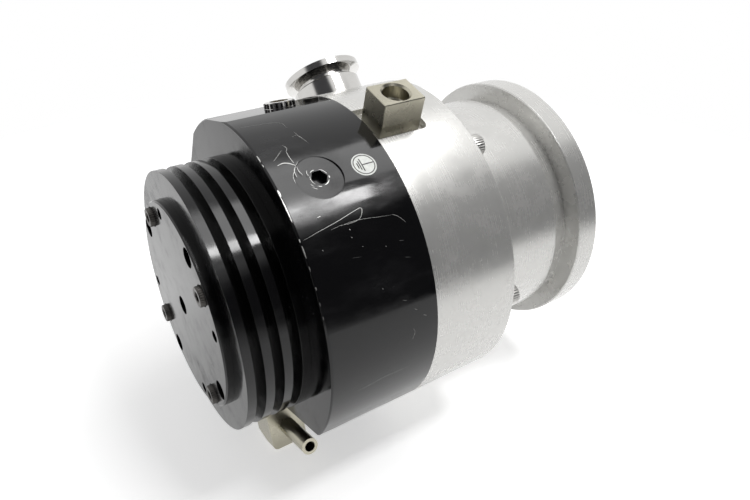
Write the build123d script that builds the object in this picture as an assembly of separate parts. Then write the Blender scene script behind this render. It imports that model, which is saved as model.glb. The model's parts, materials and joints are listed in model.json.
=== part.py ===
"""Turbomolecular vacuum pump: DN 100 ISO-K inlet on top, DN 25 KF exhaust on the side.

Millimetres. +Z is the rotor axis, pointing out of the inlet, and z = 0 is the inlet flange's
sealing face. +X points out of the exhaust port. Each function makes one kind of piece and
writes one node to the parts folder.
"""
from build123d import *
import os
from math import cos, radians, sin, sqrt, tan

# ---- heights along the rotor axis, from the inlet face downwards -------------------------
inlet_rim_height = 12.0        # ISO-K rim that the claws grip
claw_groove_height = 9.1
neck_height = 43.1
ring_height = 42.8             # wide lower part of the envelope
base_height = 50.5             # black base housing
fin_thickness = 3.8
fin_pitch = 8.0
fin_count = 4
cover_step = 3.7               # how far the cover plate stands below the lowest fin
cover_seat_depth = 4.0         # how far it sinks into the finned housing

# ---- outer radii ---------------------------------------------------------------------------
inlet_rim_radius = 65.0
stack_bore_radius = 53.0
neck_wall = 5.1
claw_groove_depth = 2.6
shelf_width = 17.6             # from the neck to the body's side
neck_radius = stack_bore_radius + neck_wall
claw_groove_radius = neck_radius - claw_groove_depth
body_radius = neck_radius + shelf_width
fin_radius = 59.2
fin_root_radius = 50.0
cover_radius = 47.1
edge_chamfer = 0.6

# ---- inlet and stage stack ------------------------------------------------------------------
inlet_bore_radius = 51.0
inlet_lip_depth = 8.0
slide_fit = 0.05               # radial room of a piece that slides into its seat
ring_wall = 3.7                # radial width of the spacer rings
screen_thickness = 1.0
screen_bar = 1.6
screen_ring_pitch = 9.5
screen_spokes = 8
rotor_tip_gap = 1.0
rotor_hub_radius = 28.0
hub_gap = 1.0
inlet_gap = 2.0                # screen to first rotor stage
stage_gap = 0.8                # axial room between rotor and stator blades
blade_thickness = 1.3
stator_blade_thickness = 1.0
stator_inner_ring = 1.5
half_ring_gap = 0.1            # between the two halves of a stator disc
rotor_stage_heights = (6.5, 6.5, 5.0, 5.0, 4.0, 4.0)
stator_disc_heights = (5.0, 4.5, 3.5, 3.5, 3.0)
blade_counts = (20, 20, 18, 18, 16, 16)
blade_angles = (42, 38, 34, 30, 26, 22)      # from flat, steepest at the inlet

# ---- rotor, shaft and bearings --------------------------------------------------------------
hub_recess_radius = 10.0
hub_recess_depth = 5.0
hub_web_height = 25.0          # solid top of the rotor hub
hub_skirt_length = 42.0        # bell below the web
bell_radius = 21.5
shaft_seat_radius = 7.0
shaft_seat_length = 16.0
rotor_bolt_radius = 4.0
rotor_bolt_head_radius = 6.5
rotor_bolt_head_height = 4.5
rotor_bolt_length = 16.0
journal_radius = 5.0
shaft_shoulder_radius = 6.5
motor_journal_radius = 7.0
bearing_width = 8.0
race_wall = 1.64               # left under the ball groove
groove_depth = 0.66
ball_radius = 2.2
ball_count = 7
ball_gap = 0.16                # keeps the turning balls clear of both grooves
groove_radius = ball_radius + ball_gap
race_thickness = race_wall + groove_depth
ball_circle = journal_radius + race_wall + groove_radius
bearing_outer_radius = ball_circle + groove_radius + race_wall
cage_wall = 1.1
magnet_radius = 12.5
magnet_length = 32.0
motor_gap = 1.0
motor_core_radius = 23.9
motor_core_length = 24.0
motor_rise = 31.0              # middle of the motor above the lower end of the base housing
winding_length = 7.0
winding_wall = 7.0
tower_radius = 19.5
tower_foot_radius = 30.0
tower_foot_height = 20.0
foreline_wall = 3.4
spigot_height = 3.0
bearing_nut_height = 1.8
spring_height = 1.6
cap_radius = 20.0              # lower bearing cap
cap_flange = 3.0
cap_spigot = 5.0

# ---- exhaust port, DN 25 KF ------------------------------------------------------------------
exhaust_rise = 25.0            # port axis above the base housing
exhaust_reach = 15.9           # sealing face beyond the body's side
kf_rim_radius = 20.0
kf_rim_thickness = 3.0
kf_slope = 15.0
kf_neck_radius = 14.0
kf_recess_radius = 13.1
kf_recess_depth = 4.0
exhaust_passage_radius = 11.0
exhaust_boss_radius = 17.5
exhaust_boss_height = 8.6      # beyond the body's side
exhaust_seat_depth = 2.7       # spot face below the body's side
exhaust_spigot_radius = 13.4
exhaust_spigot_length = 14.0

# ---- vent block on the silver ring -----------------------------------------------------------
vent_angle = 58.0
vent_rise = 3.3                # block's lower end above the base housing
vent_length = 20.0             # along the rotor axis
vent_width = 15.0
vent_height = 16.2
vent_pocket_depth = 3.7        # below the body's side
vent_pocket_side = 3.2         # beside the block
vent_pocket_end = 2.5          # beyond the block's upper end; the lower end is open
vent_pocket_corner = 3.0
vent_port_radius = 5.72        # G 1/4 core
vent_port_depth = 10.0
vent_port_chamfer = 0.9
vent_screw_radius = 4.0
vent_screw_head_radius = 5.3
vent_screw_head_height = 2.5
vent_screw_bore = 2.2
vent_screw_length = 14.0

# ---- flats, connector, plug and screw on the black base housing ------------------------------
connector_flat_angle = 27.5
connector_flat_half_width = 13.0
rear_flat_angle = -17.0
rear_flat_depth = 4.0          # below the body's side
connector_depth = 19.5         # below the joint of envelope and base housing
connector_ring_radius = 6.6
connector_ring_height = 2.6
connector_body_radius = 5.4
connector_body_length = 12.0
connector_socket_radius = 4.2
connector_socket_depth = 3.0
pin_radius = 0.5
pin_length = 2.4
pin_circle_radius = 2.6
pin_count = 6
purge_screw_depth = 4.2
purge_screw_radius = 2.0
purge_screw_length = 8.0
purge_screw_head_radius = 3.7
purge_screw_head_height = 1.2
purge_socket_flats = 2.5
purge_socket_depth = 2.4
plug_angle = 73.5
plug_rise = 18.5               # above the base housing's lower end
plug_head_radius = 9.75
plug_face_depth = 0.7          # below the body's side
plug_head_height = 5.0
plug_shank_radius = 6.5
plug_shank_length = 8.0
plug_socket_flats = 6.0
plug_socket_depth = 3.5

# ---- purge hose block, let into the lower edge of the base housing ---------------------------
hose_angle = 204.5             # the block faces this way; the hose leaves 90 degrees short of it
hose_rise = 2.0                # hose axis above the base housing's lower edge
hose_stand = 1.3               # hose axis beyond the body's side
hose_radius = 4.0
hose_bore = 2.5
hose_length = 25.0             # beyond the block
hose_spigot_radius = 3.0
hose_spigot_bore = 1.8
hose_spigot_length = 9.0
hose_bore_depth = 13.0
hose_room = 15.75              # radius cleared round the hose in the base housing
block_below = 9.5              # block faces, from the hose axis
block_above = 8.5
block_outward = 10.0
block_inward = 11.0
block_depth = 18.0             # along the hose
block_round = 2.5
block_gap = 0.3
block_screw_rise = 4.9         # screws above the hose axis
block_screws = (-3.4, -15.0)   # screws along the hose, from the block's front
block_screw_radius = 1.25
block_screw_head_radius = 2.25
block_screw_head_height = 2.5
block_screw_grip = 8.0
purge_rise = 2.0               # purge passage above the hose axis
purge_setback = 11.0           # behind the block's front
purge_radius = 1.4

# ---- screws -----------------------------------------------------------------------------------
envelope_bolt_count = 6
envelope_bolt_angle = 15.0
envelope_bolt_edge = 6.7       # bolt axis inside the body's side
envelope_bolt_radius = 3.0
envelope_bolt_head_radius = 5.0
envelope_bolt_head_height = 6.0
envelope_bolt_grip = 15.0      # thread in the base housing
screw_clearance = 0.3
cover_screw_count = 4
cover_screw_angle = 5.0
cover_screw_circle = 41.0
cover_screw_radius = 2.5
cover_screw_head_radius = 4.25
cover_screw_head_height = 5.0
cover_screw_stand = 2.0        # head beyond the cover plate
cover_screw_grip = 9.0
counterbore_gap = 0.4
housing_screw_count = 4
housing_screw_angle = 50.0
housing_screw_circle = 34.0
housing_screw_grip = 11.0
mount_hole_count = 4           # of each size
mount_circle = 42.0
small_mount_angle = 28.0
small_mount_radius = 2.5
large_mount_angle = 73.0
large_mount_radius = 4.3
mount_depth = 10.0             # beyond the cover plate
centre_hole_radius = 4.25

# ---- seals, drawn as squeezed flat in their grooves -----------------------------------------
seal_width = 2.6
seal_height = 2.0
envelope_seal_radius = 55.4    # inner radius
housing_seal_radius = 25.2
cover_seal_radius = 25.6
exhaust_seal_radius = 14.0
small_seal_width = 1.8
small_seal_height = 1.5

# ---- levels worked out from the heights above ------------------------------------------------
rim_bottom = -inlet_rim_height
groove_bottom = rim_bottom - claw_groove_height
ring_top = groove_bottom - neck_height
joint = ring_top - ring_height                   # envelope on base housing
base_bottom = joint - base_height
fins_bottom = base_bottom - (fin_count - 1) * fin_pitch - fin_thickness
cover_face = fins_bottom - cover_step
cover_top = fins_bottom + cover_seat_depth
lip_bottom = -inlet_lip_depth
stack_top = lip_bottom - screen_thickness
spigot_top = joint + spigot_height
ring_inner = stack_bore_radius - slide_fit - ring_wall
rotor_tip = ring_inner - rotor_tip_gap
hub_top = stack_top - inlet_gap
web_bottom = hub_top - hub_web_height
hub_bottom = web_bottom - hub_skirt_length
shaft_top = web_bottom + shaft_seat_length
tower_top = web_bottom - 2.0
upper_bearing_top = tower_top - bearing_nut_height
upper_bearing_bottom = upper_bearing_top - bearing_width
lower_bearing_top = base_bottom - 2.5
lower_bearing_bottom = lower_bearing_top - bearing_width
cap_spigot_top = lower_bearing_bottom - spring_height
cap_seat = cap_spigot_top - cap_spigot
shaft_bottom = lower_bearing_bottom - 2.0
motor_middle = base_bottom + motor_rise
magnet_top = motor_middle + magnet_length / 2
motor_bore_top = motor_middle + motor_core_length / 2
motor_cavity_top = motor_bore_top + winding_length + 0.5
connector_flat_distance = sqrt(body_radius ** 2 - connector_flat_half_width ** 2)
connector_level = joint - connector_depth
purge_screw_level = joint - purge_screw_depth
plug_level = base_bottom + plug_rise
exhaust_level = joint + exhaust_rise
vent_level = joint + vent_rise + vent_length / 2
hose_level = base_bottom + hose_rise
envelope_bolt_circle = body_radius - envelope_bolt_edge
exhaust_seat = body_radius - exhaust_seat_depth  # from here on, distances from the rotor axis
exhaust_face = body_radius + exhaust_reach
exhaust_boss_top = body_radius + exhaust_boss_height
vent_floor = body_radius - vent_pocket_depth
rear_flat_distance = body_radius - rear_flat_depth
plug_face = body_radius - plug_face_depth
hose_offset = body_radius + hose_stand
block_floor = hose_offset - block_inward
block_outer = hose_offset + block_outward
far = 2 * body_radius          # longer than anything that is cut


def save(name, *pieces):
    """Write one node; several pieces are kept as separate solids."""
    solids = [solid for piece in pieces for solid in piece.solids()]
    export_step(solids[0] if len(solids) == 1 else Compound(solids), f"parts/{name}.step")


def tube(outer, inner, low, high, centre=(0, 0)):
    """Upright ring, or a plain cylinder where inner is 0."""
    length = high - low
    place = Pos(centre[0], centre[1], (low + high) / 2)
    solid = place * Cylinder(outer, length)
    if inner:
        solid -= place * Cylinder(inner, length + 1)
    return solid


def spun(points):
    """Solid of revolution about Z from (radius, z) points."""
    outline = [(radius, 0, z) for radius, z in points]
    return revolve(make_face(Polyline(*outline, close=True)), Axis.Z)


def on_circle(radius, start, count):
    """Plan positions spread evenly on a circle."""
    turns = [radians(start + 360 * index / count) for index in range(count)]
    return [(radius * cos(turn), radius * sin(turn)) for turn in turns]


def side(angle, level):
    """Frame at a height, turned so that its Z points radially outwards at the angle."""
    outward = (cos(radians(angle)), sin(radians(angle)), 0)
    return Plane(origin=(0, 0, level), x_dir=(0, 0, 1), z_dir=outward)


def side_tube(place, outer, inner, start, end):
    """Ring about a side axis, between two distances from the rotor axis."""
    return place * tube(outer, inner, start, end)


def screw(centre, radius, head_radius, head_height, tip, seat, head_up=True):
    """Cap screw: shank between tip and seat, head beyond the seat."""
    head_end = seat + head_height if head_up else seat - head_height
    shank = tube(radius, 0, min(tip, seat), max(tip, seat), centre)
    return shank + tube(head_radius, 0, min(seat, head_end), max(seat, head_end), centre)


# ---- stage stack ------------------------------------------------------------------------------
def blade_ring(count, height, angle, thickness, start, end, middle):
    """Flat leaning blades between two radii, cut square at top and bottom."""
    lean = height / tan(radians(angle)) / 2
    half = thickness / sin(radians(angle)) / 2
    low, high = -height / 2, height / 2
    corners = [(-lean - half, low), (-lean + half, low), (lean + half, high), (lean - half, high)]
    profile = Plane.YZ.offset(start) * make_face(Polyline(*corners, close=True))
    blade = extrude(profile, end - start)
    return [Pos(0, 0, middle) * Rot(0, 0, 360 * index / count) * blade for index in range(count)]


def stage_levels():
    """Top and bottom of each rotor stage and of each stator disc, from the inlet down."""
    rotor_levels = []
    stator_levels = []
    level = stack_top - inlet_gap
    for index, height in enumerate(rotor_stage_heights):
        rotor_levels.append((level, level - height))
        level -= height + stage_gap
        if index < len(stator_disc_heights):
            stator_levels.append((level, level - stator_disc_heights[index]))
            level -= stator_disc_heights[index] + stage_gap
    return rotor_levels, stator_levels


rotor_stage_levels, stator_disc_levels = stage_levels()
stack_bottom = rotor_stage_levels[-1][1] - stage_gap


def rotor():
    """One-piece aluminium rotor: bell-shaped hub with six rows of blades."""
    recess_floor = hub_top - hub_recess_depth
    outline = [
        (hub_recess_radius, hub_top),
        (rotor_hub_radius - 3, hub_top),
        (rotor_hub_radius, hub_top - 2),
        (rotor_hub_radius, hub_bottom),
        (bell_radius, hub_bottom),
        (bell_radius, web_bottom),
        (shaft_seat_radius, web_bottom),
        (shaft_seat_radius, shaft_top),
        (rotor_bolt_radius + screw_clearance, shaft_top),
        (rotor_bolt_radius + screw_clearance, recess_floor),
        (hub_recess_radius, recess_floor),
    ]
    hub = spun(outline)
    for (top, bottom), count, angle in zip(rotor_stage_levels, blade_counts, blade_angles):
        start, end = rotor_hub_radius - 2, rotor_tip + 2
        blades = blade_ring(count, top - bottom, angle, blade_thickness, start, end, (top + bottom) / 2)
        tip = tube(rotor_tip, 0, bottom - 1, top + 1)
        inner = tube(rotor_hub_radius - 1, 0, bottom - 1, top + 1)
        hub += [(blade & tip) - inner for blade in blades]
    save("rotor", hub)


def stator_discs():
    """Bladed rings, each in two halves so that they close round the one-piece rotor."""
    outer = stack_bore_radius - slide_fit
    inner = rotor_hub_radius + hub_gap
    for number, (top, bottom) in enumerate(stator_disc_levels, start=1):
        count, angle = blade_counts[number], 180 - blade_angles[number]
        middle = (top + bottom) / 2
        disc = tube(outer, ring_inner, bottom, top)
        disc += tube(inner + stator_inner_ring, inner, bottom, top)
        start, end = inner + stator_inner_ring / 2, ring_inner + ring_wall / 2
        disc += blade_ring(count, top - bottom, angle, stator_blade_thickness, start, end, middle)
        left = disc & Pos(0, -far / 2 - half_ring_gap / 2, middle) * Box(far, far, far)
        right = disc & Pos(0, far / 2 + half_ring_gap / 2, middle) * Box(far, far, far)
        save(f"stator_disc_{number}", left, right)


def spacer_rings():
    """Plain rings that hold the stator discs apart, one round each rotor stage."""
    outer = stack_bore_radius - slide_fit
    tops = [stack_top] + [bottom for _, bottom in stator_disc_levels]
    bottoms = [top for top, _ in stator_disc_levels] + [stack_bottom]
    for number, (top, bottom) in enumerate(zip(tops, bottoms), start=1):
        save(f"spacer_ring_{number}", tube(outer, ring_inner, bottom, top))


def foreline_ring():
    """Tall ring that carries the stack and lets the gas out to the exhaust."""
    outer = stack_bore_radius - slide_fit
    ring = tube(outer, outer - foreline_wall, spigot_top, stack_bottom)
    window = side_tube(side(0, exhaust_level), exhaust_passage_radius, 0, bell_radius, far)
    vent = side_tube(side(vent_angle, vent_level), vent_screw_bore, 0, bell_radius, far)
    save("foreline_ring", ring - window - vent)


def inlet_screen():
    """Splinter guard: rings and spokes in one thin sheet, held under the inlet lip."""
    outer = stack_bore_radius - slide_fit
    screen = tube(outer, rotor_tip - screen_bar, stack_top, lip_bottom)
    radius = screen_ring_pitch
    while radius + screen_bar < rotor_tip - screen_bar:
        screen += tube(radius + screen_bar / 2, radius - screen_bar / 2, stack_top, lip_bottom)
        radius += screen_ring_pitch
    first, last = screen_ring_pitch, rotor_tip
    spoke = Pos((first + last) / 2, 0, (stack_top + lip_bottom) / 2)
    spoke *= Box(last - first, screen_bar, screen_thickness)
    screen += [Rot(0, 0, 360 * index / screen_spokes) * spoke for index in range(screen_spokes)]
    save("inlet_screen", screen)


# ---- housings ----------------------------------------------------------------------------------
def envelope():
    """Turned aluminium envelope: ISO-K rim, claw groove, neck and wide lower ring."""
    c = edge_chamfer
    outline = [
        (inlet_bore_radius, 0),
        (inlet_rim_radius - c, 0),
        (inlet_rim_radius, -c),
        (inlet_rim_radius, rim_bottom + c),
        (inlet_rim_radius - c, rim_bottom),
        (claw_groove_radius, rim_bottom),
        (claw_groove_radius, groove_bottom + claw_groove_depth),
        (neck_radius, groove_bottom),
        (neck_radius, ring_top),
        (body_radius - c, ring_top),
        (body_radius, ring_top - c),
        (body_radius, joint),
        (stack_bore_radius, joint),
        (stack_bore_radius, lip_bottom),
        (inlet_bore_radius, lip_bottom),
    ]
    shell = spun(outline)
    for centre in on_circle(envelope_bolt_circle, envelope_bolt_angle, envelope_bolt_count):
        shell -= tube(envelope_bolt_radius + screw_clearance, 0, joint - 1, ring_top + 1, centre)
    port = side(0, exhaust_level)
    shell -= side_tube(port, exhaust_boss_radius + counterbore_gap, 0, exhaust_seat, far)
    shell -= side_tube(port, exhaust_spigot_radius + slide_fit, 0, exhaust_seat - exhaust_spigot_length, far)
    shell -= side_tube(port, exhaust_passage_radius, 0, bell_radius, far)
    seal_inner, seal_outer = exhaust_seal_radius, exhaust_seal_radius + small_seal_width
    shell -= side_tube(port, seal_outer, seal_inner, exhaust_seat - small_seal_height, exhaust_seat + 1)
    vent = side(vent_angle, vent_level)
    pocket_width = vent_width + 2 * vent_pocket_side
    pocket = Box(far, pocket_width, far, align=(Align.MAX, Align.CENTER, Align.MIN))
    pocket = fillet(pocket.edges().filter_by(Axis.Z).group_by(Axis.X)[-1], vent_pocket_corner)
    shell -= vent * Pos(vent_length / 2 + vent_pocket_end, 0, vent_floor) * pocket
    shell -= side_tube(vent, vent_screw_radius, 0, vent_floor - vent_screw_length, vent_floor + 1)
    shell -= side_tube(vent, vent_screw_bore, 0, bell_radius, vent_floor)
    save("envelope", shell)


def base_housing():
    """Black base housing: wide drum, motor cavity, and the tower that carries the upper bearing."""
    c = edge_chamfer
    spigot = stack_bore_radius - slide_fit
    shaft_room = motor_journal_radius + 3
    outline = [
        (body_radius, joint),
        (body_radius, base_bottom + c),
        (body_radius - c, base_bottom),
        (motor_core_radius, base_bottom),
        (motor_core_radius, motor_cavity_top),
        (shaft_room, motor_cavity_top),
        (shaft_room, upper_bearing_bottom),
        (bearing_outer_radius, upper_bearing_bottom),
        (bearing_outer_radius, tower_top),
        (tower_radius, tower_top),
        (tower_radius, spigot_top + tower_foot_height),
        (tower_foot_radius, spigot_top),
        (spigot, spigot_top),
        (spigot, joint),
    ]
    body = spun(outline)
    seal_outer = envelope_seal_radius + seal_width
    body -= tube(seal_outer, envelope_seal_radius, joint - seal_height, joint + 1)
    seal_outer = housing_seal_radius + seal_width
    body -= tube(seal_outer, housing_seal_radius, base_bottom - 1, base_bottom + seal_height)
    for centre in on_circle(envelope_bolt_circle, envelope_bolt_angle, envelope_bolt_count):
        body -= tube(envelope_bolt_radius, 0, joint - envelope_bolt_grip, joint + 1, centre)
    for centre in on_circle(housing_screw_circle, housing_screw_angle, housing_screw_count):
        body -= tube(cover_screw_radius, 0, base_bottom - 1, base_bottom + housing_screw_grip, centre)
    middle = (joint + base_bottom) / 2
    flats = [(connector_flat_angle, connector_flat_distance), (rear_flat_angle, rear_flat_distance)]
    for angle, distance in flats:
        body -= side(angle, middle) * Pos(0, 0, distance + far / 2) * Box(base_height, far, far)
    connector = side(connector_flat_angle, connector_level)
    body -= side_tube(connector, connector_body_radius + slide_fit, 0, magnet_radius, far)
    purge = side(connector_flat_angle, purge_screw_level)
    purge_floor = connector_flat_distance - purge_screw_length
    body -= side_tube(purge, purge_screw_radius, 0, purge_floor, far)
    plug = side(plug_angle, plug_level)
    plug_seat = plug_face - plug_head_height
    body -= side_tube(plug, plug_head_radius + slide_fit, 0, plug_seat, far)
    body -= side_tube(plug, plug_shank_radius, 0, plug_seat - plug_shank_length, far)
    block = side(hose_angle, hose_level)
    high = block_above + block_gap
    deep = block_depth + block_gap
    pocket = Box(far, deep, far, align=(Align.MAX, Align.MAX, Align.MIN))
    body -= block * Pos(high, 0, block_floor) * pocket
    body -= hose_frame() * tube(hose_room, 0, 0, far)
    for along in block_screws:
        centre = (block_screw_rise, along)
        body -= block * tube(block_screw_radius, 0, block_floor - block_screw_grip, far, centre)
    body -= block * tube(purge_radius, 0, magnet_radius, far, (purge_rise, -purge_setback))
    save("base_housing", body)


def finned_housing():
    """Finned motor end: four cooling fins, lower bearing seat and the cover's recess."""
    outline = [(motor_journal_radius + 3, base_bottom)]
    level = base_bottom
    for index in range(fin_count):
        outline += [(fin_radius, level), (fin_radius, level - fin_thickness)]
        level -= fin_pitch
        if index < fin_count - 1:
            outline += [(fin_root_radius, level + fin_pitch - fin_thickness), (fin_root_radius, level)]
    outline += [
        (cover_radius + slide_fit, fins_bottom),
        (cover_radius + slide_fit, cover_top),
        (cap_radius, cover_top),
        (cap_radius, cap_seat),
        (bearing_outer_radius, cap_seat),
        (bearing_outer_radius, lower_bearing_top),
        (motor_journal_radius + 3, lower_bearing_top),
    ]
    housing = spun(outline)
    for centre in on_circle(housing_screw_circle, housing_screw_angle, housing_screw_count):
        bore = cover_screw_radius + screw_clearance
        pocket = cover_screw_head_radius + counterbore_gap
        housing -= tube(bore, 0, fins_bottom, base_bottom + 1, centre)
        housing -= tube(pocket, 0, fins_bottom, cover_top + cover_screw_head_height, centre)
    for centre in on_circle(cover_screw_circle, cover_screw_angle, cover_screw_count):
        housing -= tube(cover_screw_radius, 0, fins_bottom, cover_top + cover_screw_grip, centre)
    for angle, radius in ((small_mount_angle, small_mount_radius), (large_mount_angle, large_mount_radius)):
        for centre in on_circle(mount_circle, angle, mount_hole_count):
            housing -= tube(radius, 0, fins_bottom, cover_top + mount_depth, centre)
    save("finned_housing", housing)


def cover_plate():
    """Round cover under the motor end, with counterbored screws and two rings of mounting holes."""
    c = edge_chamfer
    outline = [
        (centre_hole_radius, cover_face),
        (cover_radius - c, cover_face),
        (cover_radius, cover_face + c),
        (cover_radius, cover_top),
        (centre_hole_radius, cover_top),
    ]
    plate = spun(outline)
    seal_outer = cover_seal_radius + seal_width
    plate -= tube(seal_outer, cover_seal_radius, cover_top - seal_height, cover_top + 1)
    counterbore_floor = cover_face - cover_screw_stand + cover_screw_head_height
    for centre in on_circle(cover_screw_circle, cover_screw_angle, cover_screw_count):
        plate -= tube(cover_screw_radius + screw_clearance, 0, cover_face - 1, cover_top + 1, centre)
        pocket = cover_screw_head_radius + counterbore_gap
        plate -= tube(pocket, 0, cover_face - 1, counterbore_floor, centre)
    for angle, radius in ((small_mount_angle, small_mount_radius), (large_mount_angle, large_mount_radius)):
        for centre in on_circle(mount_circle, angle, mount_hole_count):
            plate -= tube(radius, 0, cover_face - 1, cover_top + 1, centre)
    save("cover_plate", plate)


# ---- rotor shaft, bearings and motor -----------------------------------------------------------
def shaft():
    """Steel shaft from the rotor hub through both bearings."""
    thread = rotor_bolt_radius
    thread_floor = hub_top - hub_recess_depth - rotor_bolt_length
    outline = [
        (thread, shaft_top),
        (shaft_seat_radius, shaft_top),
        (shaft_seat_radius, web_bottom),
        (shaft_shoulder_radius, web_bottom),
        (shaft_shoulder_radius, upper_bearing_top),
        (journal_radius, upper_bearing_top),
        (journal_radius, upper_bearing_bottom),
        (motor_journal_radius, upper_bearing_bottom),
        (motor_journal_radius, lower_bearing_top),
        (journal_radius, lower_bearing_top),
        (journal_radius, shaft_bottom),
        (0, shaft_bottom),
        (0, thread_floor),
        (thread, thread_floor),
    ]
    save("shaft", spun(outline))


def rotor_bolt():
    """Central bolt that draws the rotor onto the shaft."""
    seat = hub_top - hub_recess_depth
    tip = seat - rotor_bolt_length
    bolt = screw((0, 0), rotor_bolt_radius, rotor_bolt_head_radius, rotor_bolt_head_height, tip, seat)
    socket = extrude(RegularPolygon(3, 6, major_radius=False), rotor_bolt_head_height)
    save("rotor_bolt", bolt - Pos(0, 0, seat + 1.5) * socket)


def ball():
    """Ball drawn with 18 square flats and 8 corners, as it is sealed in out of sight."""
    prism = Pos(0, 0, -ball_radius) * extrude(
        RegularPolygon(ball_radius, 8, major_radius=False, rotation=22.5), 2 * ball_radius
    )
    return prism & (Rot(90, 0, 0) * prism) & (Rot(0, 90, 0) * prism)


def bearing(name, bottom):
    """Ball bearing: outer race, inner race, and balls in their cage."""
    top = bottom + bearing_width
    middle = (bottom + top) / 2
    pitch = ball_circle
    outer_bore = bearing_outer_radius - race_thickness
    inner_rim = journal_radius + race_thickness
    half = sqrt(groove_radius ** 2 - (groove_radius - groove_depth) ** 2)
    depth = pitch + groove_radius
    outer = [
        (bearing_outer_radius, bottom),
        (bearing_outer_radius, top),
        (outer_bore, top),
        (outer_bore, middle + half),
        (depth, middle + ball_radius / 2),
        (depth, middle - ball_radius / 2),
        (outer_bore, middle - half),
        (outer_bore, bottom),
    ]
    inner_depth = pitch - groove_radius
    inner = [
        (journal_radius, bottom),
        (journal_radius, top),
        (inner_rim, top),
        (inner_rim, middle + half),
        (inner_depth, middle + ball_radius / 2),
        (inner_depth, middle - ball_radius / 2),
        (inner_rim, middle - half),
        (inner_rim, bottom),
    ]
    save(f"{name}_outer_race", spun(outer))
    save(f"{name}_inner_race", spun(inner))
    cage = tube(pitch + cage_wall, pitch - cage_wall, middle - ball_radius, middle + ball_radius)
    centres = on_circle(pitch, 0, ball_count)
    balls = [Pos(x, y, middle) * Rot(0, 0, 360 * index / ball_count) * ball()
             for index, (x, y) in enumerate(centres)]
    for index in range(ball_count):
        hole = side_tube(side(360 * index / ball_count, middle), ball_radius - 0.35, 0, journal_radius, far)
        cage -= hole
    for piece in balls:
        cage -= piece
    save(f"{name}_balls", *balls)
    save(f"{name}_cage", cage)


def motor():
    """Permanent-magnet rotor sleeve, laminated core and its two coil ends."""
    save("motor_magnet", tube(magnet_radius, motor_journal_radius, magnet_top - magnet_length, magnet_top))
    inner = magnet_radius + motor_gap
    core_low, core_high = motor_middle - motor_core_length / 2, motor_middle + motor_core_length / 2
    save("motor_core", tube(motor_core_radius, inner, core_low, core_high))
    coil_outer = motor_core_radius - 1
    upper = tube(coil_outer, coil_outer - winding_wall, core_high, core_high + winding_length)
    lower = tube(coil_outer, coil_outer - winding_wall, core_low - winding_length, core_low)
    save("motor_windings", upper, lower)


def bearing_carriers():
    """Upper retaining nut, lower preload spring and lower bearing cap."""
    nut_bottom = upper_bearing_top
    save("upper_bearing_nut", tube(bearing_outer_radius, shaft_seat_radius + 2, nut_bottom, tower_top))
    spring_outer = bearing_outer_radius - slide_fit
    spring = tube(spring_outer, journal_radius + race_thickness + 1, cap_spigot_top, lower_bearing_bottom)
    save("preload_spring", spring)
    outline = [
        (0, cap_seat - cap_flange),
        (cap_radius - slide_fit, cap_seat - cap_flange),
        (cap_radius - slide_fit, cap_seat),
        (bearing_outer_radius - slide_fit, cap_seat),
        (bearing_outer_radius - slide_fit, cap_spigot_top),
        (journal_radius + race_thickness + 1, cap_spigot_top),
        (journal_radius + race_thickness + 1, cap_seat),
        (0, cap_seat),
    ]
    save("lower_bearing_cap", spun(outline))


# ---- ports and side fittings ---------------------------------------------------------------------
def exhaust_port():
    """Stainless KF flange on a turned neck and boss, screwed into the envelope."""
    slope = (kf_rim_radius - kf_neck_radius) * tan(radians(kf_slope))
    rim_back = exhaust_face - kf_rim_thickness
    outline = [
        (exhaust_passage_radius, exhaust_seat - exhaust_spigot_length),
        (exhaust_spigot_radius, exhaust_seat - exhaust_spigot_length),
        (exhaust_spigot_radius, exhaust_seat),
        (exhaust_boss_radius, exhaust_seat),
        (exhaust_boss_radius, exhaust_boss_top - edge_chamfer),
        (exhaust_boss_radius - edge_chamfer, exhaust_boss_top),
        (kf_neck_radius, exhaust_boss_top),
        (kf_neck_radius, rim_back - slope),
        (kf_rim_radius, rim_back),
        (kf_rim_radius, exhaust_face),
        (kf_recess_radius, exhaust_face),
        (kf_recess_radius, exhaust_face - kf_recess_depth),
        (exhaust_passage_radius, exhaust_face - kf_recess_depth),
    ]
    save("exhaust_port", side(0, exhaust_level) * spun(outline))


def vent_block():
    """Plated brass block with a threaded port, held by a hollow screw in its floor."""
    place = side(vent_angle, vent_level)
    top = vent_floor + vent_height
    port_floor = top - vent_port_depth
    screw_seat = port_floor - vent_screw_head_height
    block = Pos(0, 0, vent_floor + vent_height / 2) * Box(vent_length, vent_width, vent_height)
    block = chamfer(block.edges(), 0.3)
    block -= tube(vent_port_radius, 0, port_floor, top + 1)
    mouth = vent_port_radius + vent_port_chamfer
    block -= spun([(0, top - vent_port_chamfer - vent_port_radius), (mouth, top), (mouth, top + 1), (0, top + 1)])
    block -= tube(vent_screw_head_radius + slide_fit, 0, screw_seat, top)
    block -= tube(vent_screw_radius + screw_clearance, 0, vent_floor - 1, top)
    seal_inner = vent_screw_radius + screw_clearance + 0.4
    groove = tube(seal_inner + small_seal_width, seal_inner, vent_floor - 1, vent_floor + small_seal_height)
    save("vent_block", place * (block - groove))
    hollow = screw(
        (0, 0), vent_screw_radius, vent_screw_head_radius, vent_screw_head_height,
        vent_floor - vent_screw_length, screw_seat,
    )
    hollow -= tube(vent_screw_bore, 0, vent_floor - vent_screw_length - 1, top)
    save("vent_hollow_screw", place * hollow)
    seal = tube(seal_inner + small_seal_width, seal_inner, vent_floor, vent_floor + small_seal_height)
    save("vent_seal", place * seal)


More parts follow.
